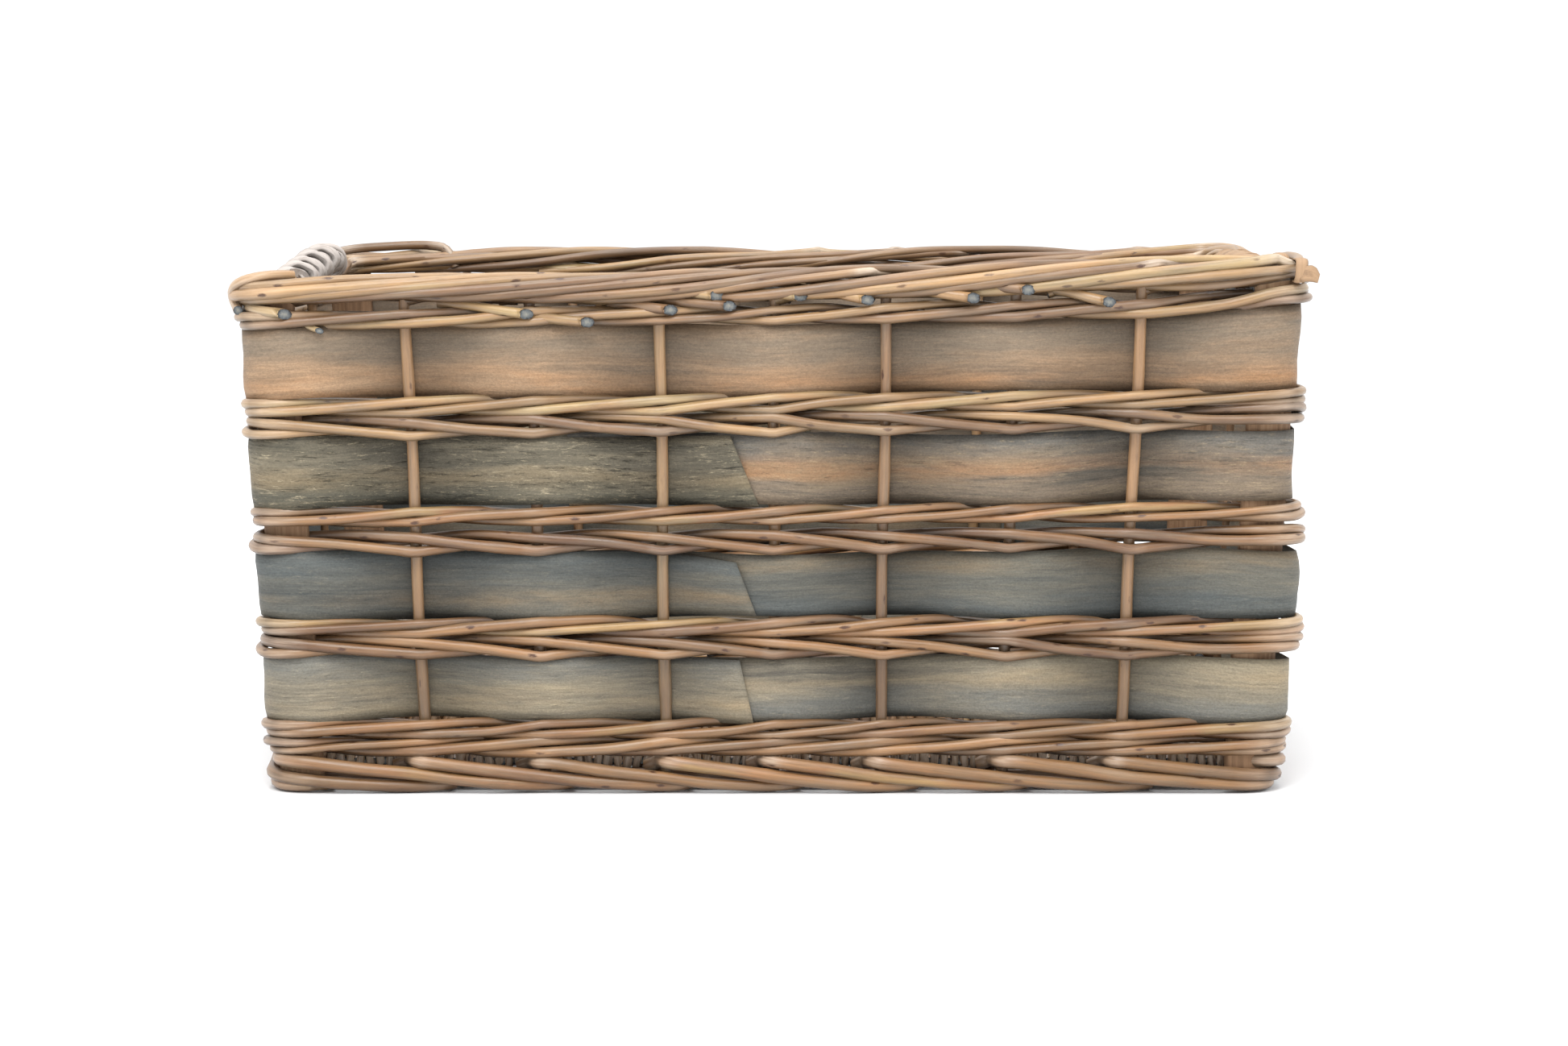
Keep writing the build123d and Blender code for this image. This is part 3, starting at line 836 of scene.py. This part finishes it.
def add_sheet(bundle, sides, at, edges, tone, shade):
    """Two faces of a strip joined round its edge."""
    rows, count = len(sides[0]), len(at)
    ring = np.concatenate([sides[0], sides[1][::-1]])
    height = np.concatenate([np.linspace(0, 1, rows), np.linspace(1, 0, rows)])
    depth = np.repeat((0.0, 0.03), rows)
    shift = (dice.uniform(-5, 5), dice.uniform(-5, 5), dice.uniform(-5, 5))
    grain = np.empty((2 * rows, count, 3))
    grain[:, :, 0] = at[None, :] + shift[0]
    grain[:, :, 1] = (height * (edges[1] - edges[0]))[:, None] + shift[1]
    grain[:, :, 2] = depth[:, None] + shift[2]
    tones = np.empty((2 * rows, count, 3))
    tones[:, :, 0] = tone
    tones[:, :, 1] = height[:, None]
    tones[:, :, 2] = 0.5
    # Painted shade on the inner face: darker where the outer face is lighter
    shade = np.where(depth[:, None] > 0, 1 - shade, shade)
    first = bundle.put(ring.reshape(-1, 3), grain.reshape(-1, 3), tones.reshape(-1, 3), 0.0, shade.ravel())
    total = 2 * rows
    for row in range(total):
        here, after = first + row * count, first + ((row + 1) % total) * count
        for column in range(count - 1):
            bundle.faces.append((here + column, here + column + 1, after + column + 1, after + column))
    for column, turn in ((0, 1), (count - 1, -1)):
        for row in range(rows - 1):
            corners = (row, row + 1, total - 2 - row, total - 1 - row)
            bundle.faces.append(tuple(first + place * count + column for place in corners)[::turn])


BAND_LAP = 0.08  # how far the strips of a band lie over one another
BACK_SLANT = 0.012  # length of the slant of a strip's cut end on the back wall


def make_bands():
    """The top band is one strip; the others are a left and a right one. Each row gives the low and high edge,
    where the left and the right strip end, the left one's slant, the tones of both and the left one's droop."""
    back, front = lap_at(2, 0.0), lap_at(0, 0.0)
    lapped = (
        ((0.2003, 0.2375), back + 0.10, back + 0.10, 0.0, 0.5, 0.5, 0.0),
        ((0.1457, 0.1822), front - 0.014, back + 0.06, 0.014, 0.4, 0.5, 0.0),
        ((0.0887, 0.1230), front - 0.0135, back - 0.05, 0.010, 0.45, 0.62, 0.0035),
        ((0.0365, 0.0700), front - 0.0135, back + 0.03, 0.007, 0.55, 0.5, 0.0),
    )
    for number, (edges, left_end, right_end, slant, left_tone, right_tone, droop) in enumerate(lapped, 1):
        bundle = Bundle()
        if number == 1:
            band_strip(bundle, left_end - BAND_LAP - LAP, right_end, edges, BACK_SLANT, left_tone)
        else:
            band_strip(bundle, right_end - BAND_LAP, left_end + LAP, edges, slant, left_tone, droop)
            bundle.use_material(1)
            band_strip(bundle, left_end - BAND_LAP - 5 * MM, right_end, edges, BACK_SLANT, right_tone)
        piece = bundle.build(f"band_{number}_strips", list(BAND_WOODS[number - 1]))
        finish_piece(piece, f"split_wood_{number}", f"chip_band_{number}")


# ---------------------------------------------------------------- rolled top border


PINCH = 0.62  # how much of the way to a grip's middle line its rods are drawn in
PINCH_START = 0.108  # distance from the middle of the grip where that begins
PINCH_FADE = 0.040  # and the distance over which it comes in
# Middle line of the left grip in mm: distance from the middle of its wall towards the back, x and height
LEFT_GRIP = (
    (-80, -254.0, 251.0),
    (-40, -253.5, 253.6),
    (0, -252.0, 257.0),
    (35, -250.0, 260.4),
    (60, -248.5, 259.6),
    (80, -249.0, 255.5),
)


def grip_middle(side, y):
    """X and height of a grip's middle line at distances towards the back; side is -1 left or +1 right."""
    if side < 0:
        knots = np.array(LEFT_GRIP) * MM
        return follow(knots[:, 0], knots[:, 1:], np.clip(y, knots[0, 0], knots[-1, 0])).T
    low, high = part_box("handle_core_right")
    rise = (high[2] - low[2]) - 9.0 * MM
    x = np.full_like(y, abs(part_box("handle_core_left")[0][0]) - 8.5 * MM)
    return x, high[2] - 4.5 * MM - rise * (y / GRIP_HALF_SPAN) ** 2


def pinch(at, points):
    """Draws the border's rods together where they run into a grip."""
    drawn = points.copy()
    for side, wall_side in ((-1, 3), (1, 1)):
        along = from_middle(wall_side, at)
        near = unit((PINCH_START - np.abs(along)) / PINCH_FADE)
        near = near * near * (3 - 2 * near)
        middle_x, middle_z = grip_middle(side, along * side)
        drawn[:, 0] += near * (middle_x - drawn[:, 0]) * PINCH
        drawn[:, 2] += near * (middle_z - drawn[:, 2]) * PINCH
    return drawn


def outside_grips(at):
    """True where a lap isn't inside a grip's binding."""
    clear = np.ones(len(at), bool)
    for wall_side in (1, 3):
        clear &= np.abs(from_middle(wall_side, at)) > BINDING_HALF_SPAN - 6 * MM
    return clear


# A stroke of the border, as (stations, out in mm, height in mm): behind a stake, out, past three while
# rising, over the top, in, down and back under
STROKE = (
    (0.00, -0.5, 247.5),
    (0.22, -2.6, 251.0),
    (0.60, -5.0, 251.8),
    (1.05, -6.0, 250.6),
    (1.50, 0.3, 250.0),
    (2.00, 7.2, 250.6),
    (3.00, 9.0, 255.6),
    (3.95, 6.0, 260.4),
    (4.60, -0.4, 261.8),
    (5.20, -6.4, 260.0),
    (5.95, -9.2, 254.6),
    (6.55, -6.0, 249.6),
    (6.90, -2.0, 248.0),
)
# The same, turning in with a sharp elbow instead
ELBOW_STROKE = STROKE[:6] + (
    (3.00, 8.6, 256.6),
    (3.72, 7.4, 260.2),
    (3.84, 5.6, 261.0),
    (3.89, 0.6, 260.6),
    (4.20, -5.0, 259.0),
    (5.20, -8.4, 256.6),
    (5.95, -9.2, 252.6),
    (6.55, -6.0, 249.6),
)
STROKE_PITCH = 0.75  # stations from one stroke to the next
BORDER_MIDDLE = 257.5  # height of the border's middle, in mm
TIED_CORNER = 8  # station of the corner where ties draw the border's rods in
TILT = 2.4  # how much the border's front rises at its right end and drops at its left end, in mm
LIFT = (2.6, 0.3)  # at the front left corner: how much all rods rise, in mm, and how much they draw together
LIFT_AT = (0.03, 0.13)  # lap where that is strongest, and its reach
SQUEEZE = 0.26  # how much the rods draw together at the back left
SQUEEZE_REACH = 0.06
# Cut ends that show on the front: distance along it and height, in mm
FRONT_ENDS = (
    (-241, 241), (-122, 241), (-92, 237), (-51, 243), (-28, 250), (-22, 245),
    (13, 250), (46, 248), (98, 249), (125, 253), (165, 247),
)


def tilt_front(places):
    """Tilts the border at the front, up to the right, and leaves a gap above the weave at both left corners."""
    laps = np.array([station_lap(place[0]) for place in places])
    near = unit(1 - np.abs(np.mod(laps + 0.1, LAP) - 0.1 - LIFT_AT[0]) / LIFT_AT[1])
    behind = unit(1.3 - np.abs(np.mod(laps, LAP) - lap_at(2, 0.19)) / SQUEEZE_REACH)
    x, y = plan(laps, np.zeros_like(laps), np.full_like(laps, TOP_WALE_HEIGHT))
    tilt = x / FOOT_HALF_LENGTH * unit(-y / FOOT_HALF_DEPTH)
    tilted = []
    for (station, out, up), lift, squeeze, rise in zip(places, near, behind, tilt):
        below = BORDER_MIDDLE - up
        up = up + lift * (LIFT[0] + LIFT[1] * below) + TILT * rise + SQUEEZE * squeeze * below
        tilted.append((station, out, up))
    return tilted


def border_stroke(bundle, station, elbow):
    """One bent-over rod of the border, left out where it would run inside the binding of a grip."""
    route = ELBOW_STROKE if elbow else STROKE
    places = []
    for past, out, up in route:
        places.append((station + past, out + dice.uniform(-0.7, 0.7), up + dice.uniform(-0.8, 0.8)))
    places = tilt_front(corner_bulge(places))
    lap, out, height = wall_route(places)
    points = pinch(lap, wall(lap, out, height))
    clear = outside_grips(lap)
    tone = rod_tone()
    radius = BORDER_R * dice.uniform(0.84, 1.12)
    edges = np.flatnonzero(np.diff(np.concatenate([[False], clear, [False]]).astype(int)))
    for low, high in zip(edges[::2], edges[1::2]):
        if high - low > 6:
            bundle.rod(points[low:high], radius, tone, 0.25 * (high - low) / len(lap))


def corner_bulge(places):
    """Adds a stop that pushes a route out where it turns a corner, or draws it in at the tied corner."""
    bulged = []
    for before, after in zip(places, places[1:] + [None]):
        bulged.append(before)
        if after is None:
            break
        corner = math.ceil(before[0])
        if corner % STATIONS in CORNER_BULGE and before[0] < corner < after[0]:
            share = (corner - before[0]) / (after[0] - before[0])
            out, up = (before[part] + share * (after[part] - before[part]) for part in (1, 2))
            if up > 200 and corner % STATIONS == TIED_CORNER:
                bulged.append((corner, 1.5 + 0.2 * out, BORDER_MIDDLE - 2 + 0.55 * (up - BORDER_MIDDLE + 2)))
            elif out > 3 and 0.15 < share < 0.85:
                bulged.append((corner, out + dice.uniform(0.4, 1.6), up))
    return bulged


def cut_stub(bundle, lap, out, height, run, rise, radius=2.6 * MM):
    """A rod's end that pokes out from under the border. It comes from a run back along the wall, and a rise
    above its tip."""
    stops = [
        (lap - run, -2.0 * MM, height + rise),
        (lap - 0.62 * run, 3.0 * MM, height + 0.75 * rise),
        (lap - 0.3 * run, 0.75 * out, height + 0.35 * rise),
        (lap, out, height),
    ]
    points = wall(*thread(stops, 2.2 * MM))
    facing = wall(lap, 0.01, height) - wall(lap, 0.0, height)
    facing = facing / np.linalg.norm(facing)
    bundle.rod(points, radius, rod_tone(), -0.1, 0.02, facing)


def front_stubs(bundle):
    """The cut ends along the front, with two more round the front left corner and one thin one by it."""
    for x, z in FRONT_ENDS:
        height = z * MM - CLIMB_RATE * (z * MM - CLIMB_START) * x * MM
        run, rise = dice.uniform(28, 44) * MM, dice.uniform(2.5, 6.5) * MM
        share = STRAIGHTS[0] / 2 / (FOOT_HALF_LENGTH + WALL_LEAN * z * MM - CORNER_RADIUS)
        cut_stub(bundle, lap_at(0, x * MM * share), dice.uniform(9.5, 11.5) * MM, height, run, rise)
    cut_stub(bundle, lap_at(0, -0.214), 8.0 * MM, 0.2358, 0.012, 4 * MM, 1.5 * MM)
    for out, height in ((4.0, 249.8), (6.5, 244.0)):
        cut_stub(bundle, LAP - ARC / 2 - 2 * MM, out * MM, height * MM, 0.03, 2.5 * MM)


def side_stubs(bundle, stations):
    for station in stations:
        lap = station_lap(station + dice.uniform(0.05, 0.75))
        if outside_grips(np.array([lap]))[0]:
            run, rise = dice.uniform(26, 40) * MM, dice.uniform(2.5, 6.5) * MM
            cut_stub(bundle, lap, dice.uniform(9, 11) * MM, dice.uniform(242, 248) * MM, run, rise)


def corner_hook(bundle):
    """A rod of the border that curls down round the front left corner."""
    stops = (
        (-238, -182, 259.5), (-250, -188, 259.5), (-262, -188, 257.0), (-268, -181, 252.5),
        (-268.5, -177, 248.0), (-266.5, -180, 244.0), (-265, -187, 242.5),
    )
    bundle.rod(thread(np.array(stops) * MM).T, 2.7 * MM, rod_tone(), 0.05)


def back_hook(bundle):
    """A bent rod end standing above the back of the border, left of its middle."""
    stops = (
        (0.178, -7, 252.6), (0.180, -6, 258.6), (0.184, -3.5, 263.6), (0.192, -2.5, 265.2),
        (0.215, -2, 264.8), (0.245, -2, 262.1), (0.262, -2, 258.1),
    )
    stops = [(lap_at(2, along), out * MM, up * MM) for along, out, up in stops]
    bundle.rod(wall(*thread(stops)), 2.6 * MM, rod_tone(), 0.1)


def make_borders():
    for name, first, last in (("border_front", -5, 10), ("border_back", 10, 23)):
        bundle = Bundle()
        for station in np.arange(first, last, STROKE_PITCH):
            border_stroke(bundle, station, dice.random() < 0.3)
        if name == "border_front":
            front_stubs(bundle)
            corner_hook(bundle)
            side_stubs(bundle, (8, 9, 26, 27))
        else:
            side_stubs(bundle, range(12, 24))
            back_hook(bundle)
        bundle.paint_hollow_shade(0.2530, 8.5 * MM)
        finish_piece(bundle.build(f"{name}_rods", [BORDER_WOOD, CUT]), "border_willow", name)


# ---------------------------------------------------------------- grips


def grip_core(side, name):
    """The five rods of the border that run on through a grip."""
    bundle = Bundle()
    along = np.arange(-GRIP_HALF_SPAN, GRIP_HALF_SPAN + RING_STEP / 2, RING_STEP)
    middle_x, middle_z = grip_middle(side, along)
    for across, up in ((-4.0, -0.5), (-1.5, 1.3), (1.6, 1.2), (4.1, -0.4), (0.1, -1.6)):
        points = np.stack([middle_x + across * MM, along, middle_z + up * MM], axis=1)
        bundle.rod(points, 2.6 * MM, rod_tone(), 0.05)
    core = bundle.build(f"grip_core_{name}_rods", [BORDER_WOOD, CUT])
    finish_piece(core, "border_willow", f"handle_core_{name}")


def wrap_turns(bundle, side, low, high, pitch, width, sense, phase, reach, thick):
    """A skein wound round a grip from one place along it to another. Reach is half the ring across and up."""
    turns = (high - low) / pitch
    angle = np.linspace(0, 2 * math.pi * turns, int(turns * 26) + 3) + phase
    wobble = dice.uniform(0, 6.28)
    cosine, sine = np.cos(angle), np.sin(angle)
    along = low + (angle - phase) / (2 * math.pi) * pitch + 2.0 * MM * np.sin(angle * 0.37 + wobble)
    half_wide, half_high = reach[0] * MM, reach[1] * MM
    x = sense * np.sign(cosine) * np.abs(cosine) ** 0.8 * half_wide
    z = np.sign(sine) * np.abs(sine) ** 0.8 * half_high * (1 + 0.06 * np.sin(angle * 0.41 + 2 * wobble))
    middle_x, middle_z = grip_middle(side, along)
    points = np.stack([middle_x + x, along, middle_z + z], axis=1)
    ahead = np.gradient(points, axis=0)
    ahead /= np.linalg.norm(ahead, axis=1)[:, None]
    out = np.stack([x / half_wide**2, np.zeros_like(x), z / half_high**2], axis=1)
    out -= ahead * np.sum(out * ahead, axis=1)[:, None]
    out /= np.linalg.norm(out, axis=1)[:, None]
    across = np.cross(out, ahead)
    half = width / 2 * (1 + 0.14 * np.sin(angle * 0.23 + wobble))
    sizes = np.stack([half, np.full_like(half, thick * MM)], axis=1)
    bundle.sweep(points, SKEIN, sizes, (across, out), rod_tone(), None, SKEIN_OPEN)


def grip_binding(side, name, material, slot):
    """A broad skein wound round a grip over three thinner ones, with a crossing turn towards the back."""
    bundle = Bundle()
    end = BINDING_HALF_SPAN - 5 * MM
    for start in range(3):
        wrap_turns(bundle, side, -end, end, 24 * MM, 8.6 * MM, 1, start * 2.1, (6.6, 4.2), 1.3)
    wrap_turns(bundle, side, -end, end - 8 * MM, 25 * MM, 20 * MM, 1, 0.9, (6.8, 4.2), 3.5)
    wrap_turns(bundle, side, end - 26 * MM, end + 3 * MM, 29 * MM, 9 * MM, -1, 4.4, (8.6, 6.4), 2.2)
    if side > 0:
        corner_ties(bundle)
    finish_piece(bundle.build(f"grip_binding_{name}_skein", [material]), slot, f"handle_binding_{name}")


def tie(bundle, middle, half_deep, half_high, width, lean):
    """A flat strip folded round rods that run along the front wall; sizes in mm."""
    angle = np.linspace(-2.2, 4.4, 40)
    y = np.sign(np.cos(angle)) * np.abs(np.cos(angle)) ** 0.5 * half_deep
    z = np.sign(np.sin(angle)) * np.abs(np.sin(angle)) ** 0.5 * half_high
    points = (np.stack([lean * np.sin(angle), y, z], axis=1) + middle) * MM
    out = np.stack([np.zeros_like(y), np.cos(angle), np.sin(angle)], axis=1)
    across = np.broadcast_to((1.0, 0.0, 0.0), out.shape)
    sizes = np.full((len(angle), 2), width / 2 * MM) * (1, 2.0 / width)
    bundle.sweep(points, SKEIN, sizes, (across, out), rod_tone(), None, SKEIN_OPEN)


def corner_ties(bundle):
    """Two ties folded round the border at the front right corner; the nearer one ends in a loose tail."""
    tie(bundle, (259.2, -190, 262.4), 9.5, 5.2, 6.2, 0.5)
    tie(bundle, (252.6, -172, 264.6), 8.0, 5.0, 6.6, -0.8)
    stops = (
        (259.5, -199.5, 260.8, 4.2), (263, -200.5, 261.2, 4.2),
        (265.6, -200.5, 260.4, 3.6), (267.6, -199.5, 258.6, 2.3),
    )
    places = np.linspace(0, 3, 12)
    tail = np.stack([np.interp(places, range(4), part) for part in zip(*stops)], axis=1) * MM
    across = np.broadcast_to((0.25, 0.0, 0.97), (12, 3))
    up = np.broadcast_to((0.0, -1.0, 0.0), (12, 3))
    sizes = np.stack([tail[:, 3], np.full(12, 0.9 * MM)], axis=1)
    bundle.sweep(tail[:, :3], SKEIN, sizes, (across, up), rod_tone(), None, SKEIN_OPEN)


def make_grips():
    grip_core(-1, "left")
    grip_core(1, "right")
    grip_binding(-1, "left", PALE_SKEIN, "pale_skein")
    grip_binding(1, "right", TAN_SKEIN, "tan_skein")


# ---------------------------------------------------------------- foot border and base

# A stroke of the foot border, as (stations, out in mm, height in mm): out past a stake, down and under
FOOT_STROKE = (
    (-0.20, -8.0, 12.4),
    (-0.09, -6.0, 15.0),
    (-0.06, -1.0, 16.0),
    (-0.02, 4.2, 16.3),
    (0.10, 6.4, 15.9),
    (0.55, 6.8, 12.4),
    (1.00, 6.5, 9.0),
    (1.40, 6.0, 6.2),
    (1.90, 4.8, 4.1),
    (2.15, 1.6, 3.8),
    (2.28, -3.2, 4.2),
)


def make_foot():
    """The strokes of the foot border and the closed rod inside them."""
    bundle = Bundle()
    for station in range(STATIONS):
        shift, drop = dice.uniform(-0.06, 0.06), dice.uniform(-0.4, 0.8)
        places = []
        for past, out, up in FOOT_STROKE:
            up = max(FOOT_R / MM + 0.2, up - drop + dice.uniform(-0.3, 0.3))
            places.append((station + past + shift, out + dice.uniform(-0.3, 0.3), up))
        route = wall_route(corner_bulge(places), 2.2 * MM)
        bundle.rod(wall(*route), FOOT_R * dice.uniform(0.88, 1.0), rod_tone(), 0.14)
    at = np.arange(0, LAP + 0.004, 0.004)
    bundle.rod(wall(at, np.full_like(at, -9.5 * MM), np.full_like(at, 7.5 * MM)), 3.2 * MM, (0.1, 0.3, 0.5))
    bundle.paint_hollow_shade(0.0100, 7 * MM)
    finish_piece(bundle.build("foot_rods", [FOOT_WOOD, CUT]), "foot_willow", "foot_border")


BASE_STICKS = 7
BASE_MIDDLE = 14.0 * MM  # height of the sticks' middle lines
WEAVER_R = 2.4 * MM
WEAVER_PITCH = 5.0 * MM
WEAVER_SWING = 5.9 * MM  # how far a weaver goes over and under the sticks
WEAVER_END = 8.5 * MM  # how far it goes on past the outermost sticks
LOOP_R = 2.3 * MM


def weaver_loop(bundle, x, y, end):
    """Where a weaver turns round the outermost stick, seen between the foot and the wall."""
    turn = np.linspace(-0.62, 0.62, 11) * math.pi
    lean = dice.uniform(-1.6, 1.6) * MM
    y = y + end * 8.4 * MM * np.cos(turn)
    z = BASE_MIDDLE + 0.5 * MM + 6.6 * MM * np.sin(turn)
    points = np.stack([x + lean * np.sin(turn), y, z], axis=1)
    bundle.rod(points, LOOP_R * dice.uniform(0.9, 1.1), rod_tone(), 0.05)


def make_base_sticks():
    for number in range(1, BASE_STICKS + 1):
        name = f"base_stick_{number}"
        low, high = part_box(name)
        x = np.arange(low[0], high[0], 6 * MM)
        y = (low[1] + high[1]) / 2
        points = np.stack([x, y + 0.5 * MM * np.sin(x * 9 + number), np.full_like(x, BASE_MIDDLE)], axis=1)
        stick = Bundle()
        stick.rod(points, 4.0 * MM, rod_tone(0.1, 0.8), 0.1)
        finish_piece(stick.build(f"willow_{name}", [BASE_WOOD, CUT]), "base_willow", name)


def make_base_weave():
    """Rods woven over and under the sticks, with the loops where they turn back at the outermost ones."""
    rows = [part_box(f"base_stick_{number}")[0][1] + 4 * MM for number in range(1, BASE_STICKS + 1)]
    knots = [rows[0] - WEAVER_END] + rows + [rows[-1] + WEAVER_END]
    y = np.linspace(knots[0], knots[-1], 62)
    low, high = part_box("base_weave")
    weavers, x, row = Bundle(), low[0] - 6 * MM, 0
    while x < high[0] + 7 * MM:
        swings = [WEAVER_SWING if (stick + row) % 2 else -WEAVER_SWING for stick in range(BASE_STICKS)]
        z = follow(knots, np.array([0.0] + swings + [0.0])[:, None], y)[:, 0]
        sway = 0.7 * MM * np.sin(y * 14 + row)
        points = np.stack([np.full_like(y, x) + sway, y, BASE_MIDDLE + z], axis=1)
        weavers.rod(points, WEAVER_R * dice.uniform(0.9, 1.08), rod_tone(), 0.1)
        for end in (-1, 1):
            weaver_loop(weavers, x + WEAVER_PITCH / 2, end * abs(rows[0]), end)
        x += WEAVER_PITCH
        row += 1
    finish_piece(weavers.build("base_weavers", [BASE_WOOD, CUT]), "base_willow", "base_weave")


# ---------------------------------------------------------------- floor, light and camera


def make_floor():
    bpy.ops.mesh.primitive_plane_add(size=30)
    floor = bpy.context.object
    floor.name = "floor"
    shader = Shader("floor_paper", 0.9, 0.1)
    shade = shader.noise(shader.add("ShaderNodeTexCoord").outputs["Object"], (3, 3, 3), 2, 0.5)
    colour = shader.ramp(shade, [(0.3, (0.90, 0.915, 0.93)), (0.7, (0.92, 0.93, 0.945))])
    floor.data.materials.append(shader.done(colour))


def make_lights():
    """A white surround and three soft lamps that point at the basket's middle."""
    world = bpy.data.worlds.new("studio")
    world.use_nodes = True
    world.node_tree.nodes["Background"].inputs["Color"].default_value = (1.0, 1.0, 1.0, 1)
    world.node_tree.nodes["Background"].inputs["Strength"].default_value = 1.2
    bpy.context.scene.world = world
    for name, place, size, energy in (
        ("key", (-0.35, -1.7, 2.1), 1.1, 38),
        ("fill", (1.9, -1.5, 1.4), 1.4, 9),
        ("top", (0.1, 0.2, 2.4), 1.5, 24),
    ):
        light = bpy.data.lights.new(name, "AREA")
        light.size = size
        light.energy = energy
        lamp = bpy.data.objects.new(name, light)
        lamp.location = place
        lamp.rotation_euler = (Vector((0, 0, 0.12)) - Vector(place)).to_track_quat("-Z", "Y").to_euler()
        bpy.context.collection.objects.link(lamp)


def make_camera():
    camera = bpy.data.cameras.new("camera")
    camera.lens = 92.95
    camera.sensor_width = 36
    holder = bpy.data.objects.new("camera", camera)
    holder.location = (0.005, -2.19, 0.329)
    holder.rotation_euler = (math.radians(84.52), 0, 0)
    bpy.context.collection.objects.link(holder)
    bpy.context.scene.camera = holder
    bpy.context.scene.view_settings.view_transform = "Standard"


make_stakes()
make_corner_slats()
make_wales()
make_bands()
make_borders()
make_grips()
make_foot()
make_base_sticks()
make_base_weave()
make_floor()
make_lights()
make_camera()
